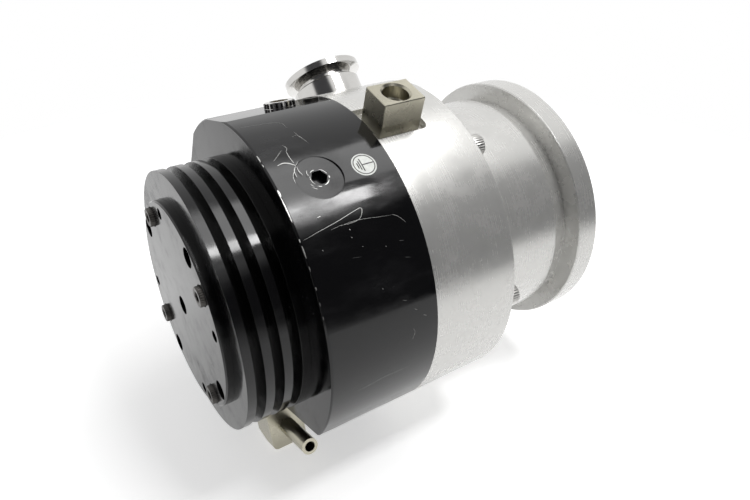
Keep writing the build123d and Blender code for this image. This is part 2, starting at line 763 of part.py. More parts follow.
def connector():
    """Round motor connector on its flat: shell with coupling ring, insert and pins."""
    place = side(connector_flat_angle, connector_level)
    face = connector_flat_distance
    top = face + connector_ring_height
    shell = tube(connector_ring_radius, 0, face, top)
    shell += tube(connector_body_radius, 0, face - connector_body_length, face)
    shell -= tube(connector_socket_radius, 0, face - connector_body_length + 2, top + 1)
    save("connector_shell", place * shell)
    insert_top = top - connector_socket_depth
    insert = tube(connector_socket_radius, 0, face - connector_body_length + 2, insert_top)
    save("connector_insert", place * insert)
    pins = [place * tube(pin_radius, 0, insert_top, insert_top + pin_length, centre)
            for centre in on_circle(pin_circle_radius, 0, pin_count)]
    save("connector_pins", *pins)


def side_plug():
    """Flush plug with a hexagon socket, and the seal under its head."""
    place = side(plug_angle, plug_level)
    seat = plug_face - plug_head_height
    plug = tube(plug_head_radius, 0, seat, plug_face)
    plug += tube(plug_shank_radius, 0, seat - plug_shank_length, seat)
    socket = extrude(RegularPolygon(plug_socket_flats / 2, 6, major_radius=False), plug_head_height)
    plug -= Pos(0, 0, plug_face - plug_socket_depth) * socket
    seal_outer = plug_shank_radius + small_seal_width
    plug -= tube(seal_outer, plug_shank_radius, seat - 1, seat + small_seal_height)
    save("side_plug", place * plug)
    seal = tube(seal_outer, plug_shank_radius, seat, seat + small_seal_height)
    save("side_plug_seal", place * seal)


def purge_screw():
    """Low-headed screw that closes the purge bore on the connector flat."""
    place = side(connector_flat_angle, purge_screw_level)
    seat = connector_flat_distance
    tip = seat - purge_screw_length
    piece = screw((0, 0), purge_screw_radius, purge_screw_head_radius, purge_screw_head_height, tip, seat)
    socket = extrude(RegularPolygon(purge_socket_flats / 2, 6, major_radius=False), 2 * purge_socket_depth)
    socket_floor = seat + purge_screw_head_height - purge_socket_depth
    save("purge_screw", place * (piece - Pos(0, 0, socket_floor) * socket))


def hose_frame():
    """Frame where the hose nozzle enters its block: Z along the hose, X up, Y to the rotor."""
    return side(hose_angle, hose_level) * Pos(0, 0, hose_offset) * Rot(-90, 0, 0)


def hose_fitting():
    """Plated purge block with its hose nozzle, two screws and the seal of its passage."""
    place = side(hose_angle, hose_level)
    height, width = block_below + block_above, block_outward + block_inward
    block = Box(height, block_depth, width, align=(Align.MIN, Align.MAX, Align.MIN))
    block = fillet(block.edges().filter_by(Axis.Y), block_round)
    block = place * Pos(-block_below, 0, block_floor) * block
    block -= hose_frame() * tube(hose_spigot_radius, 0, -hose_bore_depth, 1)
    passage = (purge_rise, -purge_setback)
    block -= place * tube(purge_radius, 0, block_floor - 1, hose_offset, passage)
    seat = block_outer - block_screw_head_height
    screws = []
    for along in block_screws:
        centre = (block_screw_rise, along)
        block -= place * tube(block_screw_radius + screw_clearance, 0, block_floor - 1, far, centre)
        block -= place * tube(block_screw_head_radius + slide_fit, 0, seat, far, centre)
        tip = block_floor - block_screw_grip
        piece = screw(
            centre, block_screw_radius, block_screw_head_radius, block_screw_head_height, tip, seat
        )
        screws.append(place * piece)
    seal_inner = purge_radius + 0.3
    seal_top = block_floor + small_seal_height
    seal = place * tube(seal_inner + small_seal_width, seal_inner, block_floor, seal_top, passage)
    save("hose_block", block - seal)
    save("hose_block_screws", *screws)
    save("hose_block_seal", seal)
    nozzle = tube(hose_radius, 0, 0, hose_length) - tube(hose_bore, 0, 2, hose_length + 1)
    nozzle += tube(hose_spigot_radius, 0, -hose_spigot_length, 0)
    nozzle -= tube(hose_spigot_bore, 0, -hose_spigot_length - 1, 3)
    save("hose_nozzle", hose_frame() * nozzle)


# ---- screws and seals ------------------------------------------------------------------------------
def screws():
    """Each set of like screws is one node of separate solids."""
    envelope_set = [
        screw(centre, envelope_bolt_radius, envelope_bolt_head_radius, envelope_bolt_head_height,
              joint - envelope_bolt_grip, ring_top)
        for centre in on_circle(envelope_bolt_circle, envelope_bolt_angle, envelope_bolt_count)
    ]
    save("envelope_bolts", *envelope_set)
    head, height = cover_screw_head_radius, cover_screw_head_height
    cover_seat = cover_face - cover_screw_stand + height
    cover_set = [
        screw(centre, cover_screw_radius, head, height, cover_top + cover_screw_grip, cover_seat, False)
        for centre in on_circle(cover_screw_circle, cover_screw_angle, cover_screw_count)
    ]
    save("cover_screws", *cover_set)
    housing_seat = cover_top + height
    housing_set = [
        screw(centre, cover_screw_radius, head, height, base_bottom + housing_screw_grip, housing_seat, False)
        for centre in on_circle(housing_screw_circle, housing_screw_angle, housing_screw_count)
    ]
    save("housing_screws", *housing_set)


def seals():
    """Main O-rings, each as wide and high as its groove."""
    outer = envelope_seal_radius + seal_width
    save("envelope_seal", tube(outer, envelope_seal_radius, joint - seal_height, joint))
    outer = housing_seal_radius + seal_width
    save("housing_seal", tube(outer, housing_seal_radius, base_bottom, base_bottom + seal_height))
    outer = cover_seal_radius + seal_width
    save("cover_seal", tube(outer, cover_seal_radius, cover_top - seal_height, cover_top))
    outer = exhaust_seal_radius + small_seal_width
    low = exhaust_seat - small_seal_height
    save("exhaust_seal", side_tube(side(0, exhaust_level), outer, exhaust_seal_radius, low, exhaust_seat))


def main():
    os.makedirs("parts", exist_ok=True)
    envelope()
    inlet_screen()
    spacer_rings()
    stator_discs()
    foreline_ring()
    rotor()
    rotor_bolt()
    shaft()
    bearing("upper_bearing", upper_bearing_bottom)
    bearing("lower_bearing", lower_bearing_bottom)
    bearing_carriers()
    motor()
    base_housing()
    finned_housing()
    cover_plate()
    exhaust_port()
    vent_block()
    connector()
    side_plug()
    purge_screw()
    hose_fitting()
    screws()
    seals()


main()
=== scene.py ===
import json
from math import cos, degrees, pi, radians, sin
import bmesh
import bpy
from mathutils import Matrix, Vector


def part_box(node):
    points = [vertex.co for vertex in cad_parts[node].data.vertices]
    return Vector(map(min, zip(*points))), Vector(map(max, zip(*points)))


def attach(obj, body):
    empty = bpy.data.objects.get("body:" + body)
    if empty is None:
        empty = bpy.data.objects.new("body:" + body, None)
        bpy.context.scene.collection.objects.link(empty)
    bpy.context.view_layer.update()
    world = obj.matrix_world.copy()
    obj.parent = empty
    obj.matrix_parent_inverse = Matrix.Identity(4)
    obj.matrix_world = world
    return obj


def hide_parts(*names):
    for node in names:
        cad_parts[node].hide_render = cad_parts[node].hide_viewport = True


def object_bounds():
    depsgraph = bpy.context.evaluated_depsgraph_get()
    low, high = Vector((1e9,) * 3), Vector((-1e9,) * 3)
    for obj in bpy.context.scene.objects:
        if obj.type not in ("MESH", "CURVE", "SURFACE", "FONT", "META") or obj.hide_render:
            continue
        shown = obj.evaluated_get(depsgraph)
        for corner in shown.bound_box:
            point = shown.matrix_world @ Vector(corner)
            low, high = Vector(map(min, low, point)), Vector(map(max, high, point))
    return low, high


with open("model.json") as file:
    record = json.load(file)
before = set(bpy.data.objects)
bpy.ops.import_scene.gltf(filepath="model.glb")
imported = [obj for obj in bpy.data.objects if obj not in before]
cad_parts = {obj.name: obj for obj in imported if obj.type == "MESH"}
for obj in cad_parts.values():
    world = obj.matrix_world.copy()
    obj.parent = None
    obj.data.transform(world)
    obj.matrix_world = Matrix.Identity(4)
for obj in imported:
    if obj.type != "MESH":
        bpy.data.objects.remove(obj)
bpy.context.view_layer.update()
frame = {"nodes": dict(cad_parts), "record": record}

MM = 0.001

# ---- places, read from the frame ---------------------------------------------------------------
nodes = frame["nodes"]


def top_of(node):
    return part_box(node)[1].z


def foot_of(node):
    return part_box(node)[0].z


def half_width(node):
    low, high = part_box(node)
    return (high.y - low.y) / 2


body_radius = half_width("envelope")
base_bottom = foot_of("base_housing")
lies_up = radians(42.4)           # the way that points up while the pump lies on its side
up = Vector((cos(lies_up), sin(lies_up), 0))
across = up.cross(Vector((0, 0, 1)))

edge_break = 0.25 * MM

# ---- screws: radii and heights of their heads, shanks and sockets ------------------------------
knurls = 32
bolt_count = 6
bolt_start = 15                   # degrees, the first bolt round the rotor's axis
bolt_inset = 6.7 * MM             # from the body's side to the bolt's axis
bolt_shank = 3 * MM
bolt_head = 5 * MM
bolt_head_height = 6 * MM
bolt_socket = 2.5 * MM
cover_screw_count = 4
cover_screw_start = 5
cover_screw_circle = 41 * MM
cover_screw_shank = 2.5 * MM
cover_screw_head = 4.25 * MM
cover_screw_head_height = 5 * MM
cover_screw_socket = 2 * MM
screw_grip = 8 * MM               # length of shank below a head

# ---- connector grip, vent thread and nozzle lining -----------------------------------------------
flutes = 18
grip_bore = 6.5 * MM
grip_radius = 7.0 * MM
grip_bevel = 0.25 * MM
grip_foot = -2.45 * MM            # levels from the connector's mount
grip_top = -0.25 * MM
thread_pitch = 1.34 * MM
thread_turns = 6
thread_root = 5.80 * MM
thread_crest = 5.25 * MM
thread_start = -1.2 * MM
thread_half_width = 0.42          # of the pitch
lining_radius = 2.49 * MM
lining_wall = 0.09 * MM
lining_top = -0.25 * MM
lining_foot = -20 * MM

# ---- marks on the black side -----------------------------------------------------------------------
plug_angle = 73.5
plug_rise = 18.5 * MM
plug_sink = 0.7 * MM
mark_height = 0.02 * MM           # of a bare scratch above the black
stroke_share = 0.62               # of a scratch's listed width that is drawn
earth_sign_angle = 73.5
earth_sign_level = -119.2 * MM
earth_sign_radius = 5.25          # the sign's own sizes are in mm
earth_circle_radius = 4.45
earth_circle_width = 0.42 * MM
earth_bar_width = 0.5 * MM
earth_stem_end = 4.2
sticker_height = 0.02 * MM

# ---- light, in degrees above the floor and round from the inlet's end --------------------------
dim_sides = ((16, -48, 32), (20, -132, 42))     # height, turn and reach of each
dim_colour = (0.07, 0.07, 0.075, 1)
world_level = 0.35                # for light that lands on surfaces; seen directly it is white
lamp_distance = 0.9
floor_gap = 8 * MM
floor_radius = 0.50
floor_glow = 0.55                 # lifts the table to the white of the backdrop where it is seen
aim_rise = 30 * MM                # of the point that the lamps aim at, above the base's foot

# ---- camera -----------------------------------------------------------------------------------------
camera_place = Vector((-33.2, 294.4, -244.8)) * MM
camera_forward = Vector((0.0850, -0.8828, 0.4620))
camera_right = Vector((-0.3684, 0.4030, 0.8378))
camera_lens = 31.62               # mm, on a sensor 36 mm wide


def around(height, turn):
    """Direction that lies this high above the floor and this far round the up axis."""
    level = Vector((0, 0, cos(radians(turn)))) + across * sin(radians(turn))
    return up * sin(radians(height)) + level * cos(radians(height))


# ---- shader helpers -----------------------------------------------------------------------------
class Shader:
    """Short names for building one node material."""

    def __init__(self, name):
        self.material = bpy.data.materials.new(name)
        self.material.use_nodes = True
        self.tree = self.material.node_tree
        self.bsdf = self.tree.nodes["Principled BSDF"]

    def node(self, kind, **settings):
        made = self.tree.nodes.new(kind)
        for key, value in settings.items():
            setattr(made, key, value)
        return made

    def link(self, source, target):
        self.tree.links.new(source, target)

    def set(self, **values):
        for key, value in values.items():
            self.bsdf.inputs[key.replace("_", " ")].default_value = value

    def place(self, scale=(1, 1, 1)):
        """Object coordinates in metres, stretched by scale."""
        where = self.node("ShaderNodeTexCoord")
        mapping = self.node("ShaderNodeMapping")
        mapping.inputs["Scale"].default_value = scale
        self.link(where.outputs["Object"], mapping.inputs["Vector"])
        return mapping.outputs["Vector"]

    def noise(self, vector, scale, detail=4.0, rough=0.55):
        made = self.node("ShaderNodeTexNoise")
        made.inputs["Scale"].default_value = scale
        made.inputs["Detail"].default_value = detail
        made.inputs["Roughness"].default_value = rough
        self.link(vector, made.inputs["Vector"])
        return made.outputs["Fac"]

    def ramp(self, value, stops):
        made = self.node("ShaderNodeValToRGB")
        elements = made.color_ramp.elements
        while len(elements) < len(stops):
            elements.new(0.5)
        for element, (position, colour) in zip(elements, stops):
            element.position = position
            element.color = (*colour, 1) if len(colour) == 3 else (*colour * 3, 1)
        self.link(value, made.inputs["Fac"])
        return made.outputs["Color"]

    def span(self, value, low, high, start=0.0, end=1.0):
        made = self.node("ShaderNodeMapRange")
        for key, number in zip(("From Min", "From Max", "To Min", "To Max"), (start, end, low, high)):
            made.inputs[key].default_value = number
        self.link(value, made.inputs["Value"])
        return made.outputs["Result"]

    def math(self, operation, first, second):
        made = self.node("ShaderNodeMath", operation=operation)
        for socket, value in zip(made.inputs, (first, second)):
            if isinstance(value, (int, float)):
                socket.default_value = value
            else:
                self.link(value, socket)
        return made.outputs["Value"]

    def bump(self, height, strength, distance):
        made = self.node("ShaderNodeBump")
        made.inputs["Strength"].default_value = strength
        made.inputs["Distance"].default_value = distance
        self.link(height, made.inputs["Height"])
        return made.outputs["Normal"]


# ---- materials ------------------------------------------------------------------------------------
def rounded(shader, normal_socket):
    """Softens sharp edges, so that they catch the light as broken edges do."""
    edge = shader.node("ShaderNodeBevel", samples=4)
    edge.inputs["Radius"].default_value = edge_break
    shader.link(edge.outputs["Normal"], normal_socket)


def turned_skin(made, strength):
    """Fine lathe grain under softened edges."""
    grain = made.noise(made.place((2.0, 2.0, 90)), 100, 3)
    skin = made.node("ShaderNodeBump")
    skin.inputs["Strength"].default_value = strength
    skin.inputs["Distance"].default_value = 0.02 * MM
    made.link(grain, skin.inputs["Height"])
    rounded(made, skin.inputs["Normal"])
    made.link(skin.outputs["Normal"], made.bsdf.inputs["Normal"])


def black_anodised(name, rough=0.11):
    """Glossy black anodising over turned aluminium, with smears from handling."""
    made = Shader(name)
    made.set(Base_Color=(0.0035, 0.0035, 0.004, 1), Metallic=0.0, IOR=1.42)
    wide = made.noise(made.place((1, 1, 0.45)), 42, 5, 0.6)
    fine = made.noise(made.place((1, 1, 0.3)), 190, 4, 0.65)
    smear = made.math("ADD", made.math("MULTIPLY", wide, 0.7), made.math("MULTIPLY", fine, 0.3))
    made.link(made.span(smear, rough - 0.04, rough + 0.2, 0.42, 0.66), made.bsdf.inputs["Roughness"])
    dust = made.ramp(smear, [(0.52, (0.0035, 0.0035, 0.004)), (0.72, (0.010, 0.010, 0.011))])
    made.link(dust, made.bsdf.inputs["Base Color"])
    turned_skin(made, 0.1)
    return made.material


def turned_aluminium(name, rough=0.25, colour=(0.66, 0.655, 0.635), anisotropy=0.5):
    """Bare turned aluminium: long highlights across the lathe's rings, and cloudy handling marks."""
    made = Shader(name)
    made.set(Metallic=0.6, Anisotropic=anisotropy, Specular_IOR_Level=0.3)
    cloud = made.noise(made.place((1, 1, 0.8)), 110, 6, 0.6)
    tint = made.ramp(cloud, [(0.3, tuple(c * 0.96 for c in colour)), (0.7, colour)])
    made.link(tint, made.bsdf.inputs["Base Color"])
    streak = made.noise(made.place((2, 2, 160)), 14, 4, 0.6)
    patch = made.math("ADD", made.math("MULTIPLY", streak, 0.35), made.math("MULTIPLY", cloud, 0.65))
    made.link(made.span(patch, rough - 0.04, rough + 0.07, 0.3, 0.7), made.bsdf.inputs["Roughness"])
    turned_skin(made, 0.04)
    tangent = made.node("ShaderNodeTangent", direction_type="RADIAL", axis="Z")
    made.link(tangent.outputs["Tangent"], made.bsdf.inputs["Tangent"])
    return made.material


def metal(name, colour, rough, mottle=0.06, scale=90, dents=0.05):
    """Plain metal with slightly uneven gloss and a faint skin."""
    made = Shader(name)
    made.set(Metallic=1.0)
    patch = made.noise(made.place(), scale, 5, 0.6)
    tint = made.ramp(patch, [(0.3, tuple(c * 0.86 for c in colour)), (0.72, colour)])
    made.link(tint, made.bsdf.inputs["Base Color"])
    low, high = max(rough - mottle, 0.02), rough + mottle
    made.link(made.span(patch, low, high, 0.3, 0.7), made.bsdf.inputs["Roughness"])
    fine = made.noise(made.place(), scale * 25, 3)
    made.link(made.bump(fine, dents, 0.00005), made.bsdf.inputs["Normal"])
    return made.material


def matt(name, colour, rough, scale=300):
    """Plastic, rubber, enamel or ceramic with a fine uneven skin."""
    made = Shader(name)
    skin = made.noise(made.place(), scale, 4)
    made.set(Roughness=rough)
    tint = made.ramp(skin, [(0.3, tuple(c * 0.8 for c in colour)), (0.7, colour)])
    made.link(tint, made.bsdf.inputs["Base Color"])
    made.link(made.bump(skin, 0.08, 0.0001), made.bsdf.inputs["Normal"])
    return made.material


black = black_anodised("black_anodised_gloss")
aluminium = turned_aluminium("turned_aluminium_satin")
milled = metal("milled_aluminium", (0.78, 0.78, 0.77), 0.34)
stainless = metal("polished_stainless", (0.66, 0.65, 0.63), 0.12, 0.03, 60, 0.02)
nickel = metal("nickel_plate", (0.50, 0.475, 0.385), 0.30, 0.05, 45, 0.05)
dark_steel = metal("blackened_steel", (0.09, 0.085, 0.08), 0.38, 0.1, 200, 0.2)
screw_steel = metal("zinc_steel", (0.55, 0.54, 0.52), 0.3)
bearing_steel = metal("ground_steel", (0.66, 0.66, 0.67), 0.18)
brown_bore = metal("tarnished_bore", (0.30, 0.14, 0.05), 0.45)
rubber = matt("seal_rubber", (0.02, 0.02, 0.02), 0.55)
ceramic = matt("bearing_ceramic", (0.12, 0.12, 0.13), 0.15)
phenolic = matt("cage_phenolic", (0.42, 0.26, 0.12), 0.5)
magnet = metal("magnet_band", (0.30, 0.30, 0.32), 0.4)
core_steel = metal("core_laminations", (0.34, 0.34, 0.36), 0.45)
copper = metal("copper_winding", (0.72, 0.36, 0.18), 0.35)
plastic = matt("insert_plastic", (0.03, 0.03, 0.03), 0.4)
gold = metal("gold_pin", (0.83, 0.62, 0.26), 0.22)
bare_mark = metal("bare_scratch", (0.34, 0.34, 0.33), 0.4, 0.1, 900, 0.1)
bright_ring = metal("bright_ring", (0.78, 0.77, 0.75), 0.2)
sign_white = matt("sign_white", (0.86, 0.88, 0.84), 0.4, 500)
sign_black = matt("sign_black", (0.01, 0.01, 0.01), 0.4)

finish_of = {
    "envelope": aluminium,
    "base_housing": black,
    "finned_housing": black,
    "cover_plate": black,
    "purge_screw": dark_steel,
    "side_plug": black,
    "connector_shell": bright_ring,
    "connector_insert": plastic,
    "connector_pins": gold,
    "exhaust_port": stainless,
    "inlet_screen": stainless,
    "vent_hollow_screw": stainless,
    "vent_block": nickel,
    "hose_block": nickel,
    "hose_nozzle": nickel,
    "hose_block_screws": screw_steel,
    "housing_screws": screw_steel,
    "envelope_bolts": screw_steel,
    "rotor_bolt": bearing_steel,
    "shaft": bearing_steel,
    "preload_spring": bearing_steel,
    "motor_magnet": magnet,
    "motor_core": core_steel,
    "motor_windings": copper,
}


finish_by_ending = {
    "seal": rubber,
    "_balls": ceramic,
    "_cage": phenolic,
    "_race": bearing_steel,
}


def dress_nodes():
    """Every CAD node gets the finish of what it is made of."""
    for name, piece in nodes.items():
        finish = finish_of.get(name, milled)
        for ending, other in finish_by_ending.items():
            if name.endswith(ending):
                finish = other
        for slot in piece.material_slots:
            slot.material = finish


# ---- mesh helpers ------------------------------------------------------------------------------------
def mount_frame(name):
    """Frame of a mount: Z along its axis, X as near to the rotor's axis as it can be."""
    mount = next(row for row in frame["record"]["mounts"] if row["name"] == name)
    return facing(Vector(mount["pos_m"]), Vector(mount["axis"]).normalized())


def facing(origin, outward):
    """Frame at a place with Z along a direction, and X as near to the rotor's axis as it can be."""
    first = Vector((0, 0, 1)) if abs(outward.z) < 0.9 else Vector((1, 0, 0))
    first = (first - outward * first.dot(outward)).normalized()
    turn = Matrix((first, outward.cross(first), outward)).transposed()
    return Matrix.Translation(origin) @ turn.to_4x4()


def side_place(angle, level, height=0.0):
    """Point on the body's side, at an angle in degrees round the rotor's axis."""
    reach = body_radius + height
    return Vector((reach * cos(radians(angle)), reach * sin(radians(angle)), level))


def add_piece(name, points, faces, material, slot, smooth=30):
    """One mesh piece on the pump, with sharp edges kept sharp."""
    mesh = bpy.data.meshes.new(name)
    mesh.from_pydata(points, [], faces)
    work = bmesh.new()
    work.from_mesh(mesh)
    bmesh.ops.recalc_face_normals(work, faces=work.faces)
    work.to_mesh(mesh)
    work.free()
    mesh.polygons.foreach_set("use_smooth", [True] * len(mesh.polygons))
    mesh.set_sharp_from_angle(angle=radians(smooth))
    mesh.materials.append(material)
    piece = bpy.data.objects.new(name, mesh)
    bpy.context.scene.collection.objects.link(piece)
    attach(piece, "pump")
    return piece


def outline(shape, radius, turn):
    """Radius of a ring at an angle: plain, hexagon socket, knurled or fluted."""
    if shape == "hexagon":
        return radius / cos((turn % (pi / 3)) - pi / 6)
    if shape == "knurled":
        return radius * (1 - 0.035 * abs(sin(knurls * turn / 2)))
    if shape == "fluted":
        return radius * (1 - 0.075 * (sin(flutes * turn) > 0))
    return radius


def loft(place, rings, steps=96, closed=False):
    """Points and faces through rings of (height, radius, shape); closed joins last to first."""
    points, faces = [], []
    for height, radius, shape in rings:
        for step in range(steps):
            turn = 2 * pi * step / steps
            reach = outline(shape, radius, turn)
            points.append(place @ Vector((reach * cos(turn), reach * sin(turn), height)))
    pairs = [(row, row + 1) for row in range(len(rings) - 1)]
    if closed:
        pairs.append((len(rings) - 1, 0))
    for low, high in pairs:
        for step in range(steps):
            after = (step + 1) % steps
            one, two = low * steps, high * steps
            faces.append((one + step, one + after, two + after, two + step))
    if not closed:
        faces.append(tuple(range(steps)))
        faces.append(tuple((len(rings) - 1) * steps + step for step in range(steps)))
    return points, faces


def gather(parts):
    """Several (points, faces) as one."""
    points, faces = [], []
    for some_points, some_faces in parts:
        shift = len(points)
        points += some_points
        faces += [tuple(corner + shift for corner in face) for face in some_faces]
    return points, faces


def cap_screw(place, shank, head, height, socket):
    """Socket-head screw: Z out of the head, origin where the head seats."""
    brim = head * 0.07
    mouth = socket * 1.22
    rings = [
        (-screw_grip, shank, "round"),
        (0, shank, "round"),
        (0, head - brim, "round"),
        (brim, head, "knurled"),
        (height - brim, head, "knurled"),
        (height, head - brim, "round"),
        (height, mouth, "round"),
        (height - brim, socket, "hexagon"),
        (height * 0.4, socket, "hexagon"),
    ]
    return loft(place, rings)


# ---- pieces ------------------------------------------------------------------------------------------
def screw_set(node, places, outward, sizes, material):
    """Socket-head screws in the place of a node's plain ones."""
    heads = []
    for origin in places:
        heads.append(cap_screw(facing(origin, Vector((0, 0, outward))), *sizes))
    piece = add_piece(node + "_heads", *gather(heads), material, "screw_steel")
    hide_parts(node)


def ring_of_places(count, start, circle, level):
    """Places spread evenly round the rotor's axis."""
    places = []
    for index in range(count):
        turn = radians(start + 360 * index / count)
        places.append(Vector((circle * cos(turn), circle * sin(turn), level)))
    return places


def envelope_bolts():
    """Bolts that hold the envelope, with their heads on its ring."""
    seat = top_of("envelope_bolts") - bolt_head_height
    places = ring_of_places(bolt_count, bolt_start, body_radius - bolt_inset, seat)
    sizes = (bolt_shank, bolt_head, bolt_head_height, bolt_socket)
    screw_set("envelope_bolts", places, 1, sizes, screw_steel)


def cover_screws():
    """Dark screws round the cover plate."""
    seat = foot_of("cover_screws") + cover_screw_head_height
    places = ring_of_places(cover_screw_count, cover_screw_start, cover_screw_circle, seat)
    sizes = (cover_screw_shank, cover_screw_head, cover_screw_head_height, cover_screw_socket)
    screw_set("cover_screws", places, -1, sizes, dark_steel)


def connector_grip():
    """Fluted black grip round the connector's bright ring."""
    place = mount_frame("motor_connector")
    rings = [
        (grip_foot, grip_bore, "round"),
        (grip_foot, grip_radius, "fluted"),
        (grip_top - grip_bevel, grip_radius, "fluted"),
        (grip_top, grip_radius - grip_bevel, "fluted"),
        (grip_top, grip_bore, "round"),
    ]
    add_piece("connector_grip", *loft(place, rings, 216, True), black, "black_anodised", 20)


def vent_thread():
    """The pipe thread cut in the vent block's port."""
    place = mount_frame("vent_port")
    steps = 48
    profile = ((thread_root, thread_half_width), (thread_crest, 0.0), (thread_root, -thread_half_width))
    points, faces = [], []
    for step in range(thread_turns * steps + 1):
        turn = 2 * pi * step / steps
        level = thread_start - thread_pitch * step / steps
        for reach, shift in profile:
            spot = Vector((reach * cos(turn), reach * sin(turn), level + shift * thread_pitch))
            points.append(place @ spot)
        if step:
            now, was = 3 * step, 3 * (step - 1)
            faces += [(was, was + 1, now + 1, now), (was + 1, was + 2, now + 2, now + 1)]
    add_piece("vent_thread", points, faces, nickel, "plated_brass", 50)


def hose_lining():
    """Tarnished inside of the purge nozzle."""
    place = mount_frame("purge_hose")
    inside = lining_radius - lining_wall
    rings = [
        (lining_foot, lining_radius, "round"),
        (lining_top, lining_radius, "round"),
        (lining_top, inside, "round"),
        (lining_foot, inside, "round"),
    ]
    add_piece("hose_lining", *loft(place, rings, 48, True), brown_bore, "plated_brass")


def stroke(places, width, height, taper=True, fineness=8):
    """Narrow ribbon on the body's side through (angle, level in mm) places."""
    knots = [Vector((radians(angle) * body_radius, level * MM)) for angle, level in places]
    knots = [2 * knots[0] - knots[1]] + knots + [2 * knots[-1] - knots[-2]]
    line = []
    for one, two, three, four in zip(knots, knots[1:], knots[2:], knots[3:]):
        for step in range(fineness):
            share = step / fineness
            bend = 2 * two + (three - one) * share
            bend += (2 * one - 5 * two + 4 * three - four) * share * share
            line.append((bend + (3 * two - one - 3 * three + four) * share ** 3) / 2)
    line.append(knots[-2])
    points, faces = [], []
    for index, spot in enumerate(line):
        before, after = line[max(index - 1, 0)], line[min(index + 1, len(line) - 1)]
        along = (after - before).normalized()
        beside = Vector((-along.y, along.x))
        swell = sin(pi * (index + 0.3) / (len(line) - 0.4)) ** 0.5 if taper else 1.0
        for way in (-1, 1):
            edge = spot + beside * way * width * swell / 2
            points.append(side_place(degrees(edge.x / body_radius), edge.y, height))
        if index:
            faces.append((2 * index - 2, 2 * index - 1, 2 * index + 1, 2 * index))
    return points, faces


def scratches():
    """Hairline scratches and bare spots that handling left in the black."""
    foot = base_bottom / MM
    # Widths in mm, with places as (angle, level). Most places were read off the photo and worked out on
    # the body's side by a separate script. The rest were drawn between them.
    lines = [
        (0.28, [(90.3, -156.0), (89.9, -153.0), (89.2, -148.5), (88.6, -144.0),
                (87.9, -139.5), (86.8, -133.4), (86.3, -129.6), (87.3, -129.3),
                (89.2, -131.4), (89.7, -135.3), (89.5, -140.2), (89.9, -144.3)]),
        (0.16, [(89.6, -140.0), (89.4, -136.0), (89.6, -130.6), (90.4, -123.9), (91.1, -117.4)]),
        (0.30, [(91.0, -117.6), (92.0, -115.5), (94.4, -113.0)]),
        (0.22, [(44.6, -155.3), (45.4, -147.3), (46.2, -141.6), (47.8, -138.4), (51.1, -138.2)]),
        (0.22, [(53.6, -137.0), (56.6, -136.6), (60.5, -135.0)]),
        (0.16, [(56.2, -139.5), (56.0, -137.0), (58.6, -135.6)]),
        (0.80, [(66.3, -152.4), (65.9, -149.5), (66.6, -147.3), (67.8, -145.6)]),
        (0.45, [(61.5, -145.6), (64.0, -145.9), (66.8, -145.7)]),
        (0.22, [(64.4, -152.6), (62.4, -149.4), (60.8, -146.9)]),
        (0.28, [(58.8, -145.4), (60.4, -144.6), (61.6, -145.4)]),
        (0.40, [(68.0, -145.7), (69.6, -147.3), (71.8, -147.6)]),
        (0.30, [(68.2, -145.4), (70.0, -145.6), (71.6, -145.0)]),
        (0.24, [(69.0, -146.6), (71.2, -148.8), (73.6, -149.3)]),
        (0.20, [(66.6, -143.9), (67.4, -144.9), (67.9, -145.9)]),
        (0.30, [(70.4, -142.6), (71.5, -143.2), (72.4, -143.0)]),
        (0.35, [(85.4, -147.6), (85.2, -146.0)]),
        (0.14, [(142.9, -146.6), (142.6, -139.5), (141.9, -132.4), (142.1, -124.9), (142.4, -119.8)]),
        (0.14, [(131.0, -120.0), (128.6, -118.6), (127.0, -119.4)]),
        (0.12, [(99.2, -140.0), (99.8, -136.0)]),
        (0.16, [(98.8, -118.6), (99.3, -116.4)]),
        (0.20, [(104.0, -118.2), (104.6, -115.6)]),
        (0.16, [(116.2, -123.2), (116.9, -121.2)]),
        (0.22, [(120.4, -118.2), (121.2, -116.9)]),
        (0.18, [(123.6, -114.2), (124.3, -112.6)]),
    ]
    chips = [                     # width, with the angles between which each lies on the lower edge
        (0.5, (60.6, 63.4)),
        (0.3, (64.4, 65.6)),
        (0.75, (74.2, 76.6)),
        (0.4, (76.2, 84.6)),
        (0.3, (89.6, 90.6)),
        (0.45, (91.6, 95.2)),
        (0.25, (97.4, 99.0)),
        (0.45, (103.4, 104.4)),
        (0.25, (107.8, 109.0)),
        (0.2, (112.0, 113.0)),
    ]
    specks = [
        (93.5, -137.6),
        (96.9, -134.5),
        (91.2, -137.2),
        (94.4, -150.4),
        (99.0, -125.0),
        (110.5, -131.0),
    ]
    speck_width = 0.35 * MM
    bare = [stroke(places, width * stroke_share * MM, mark_height) for width, places in lines]
    for width, (start, end) in chips:
        level = foot + width / 2
        places = [(start, level), ((start + end) / 2, level + 0.05), (end, level)]
        bare.append(stroke(places, width * MM, mark_height))
    for angle, level in specks:
        places = [(angle, level), (angle + 0.35, level + 0.4)]
        bare.append(stroke(places, speck_width, mark_height))
    add_piece("body_scratches", *gather(bare), bare_mark, "bare_aluminium", 60)


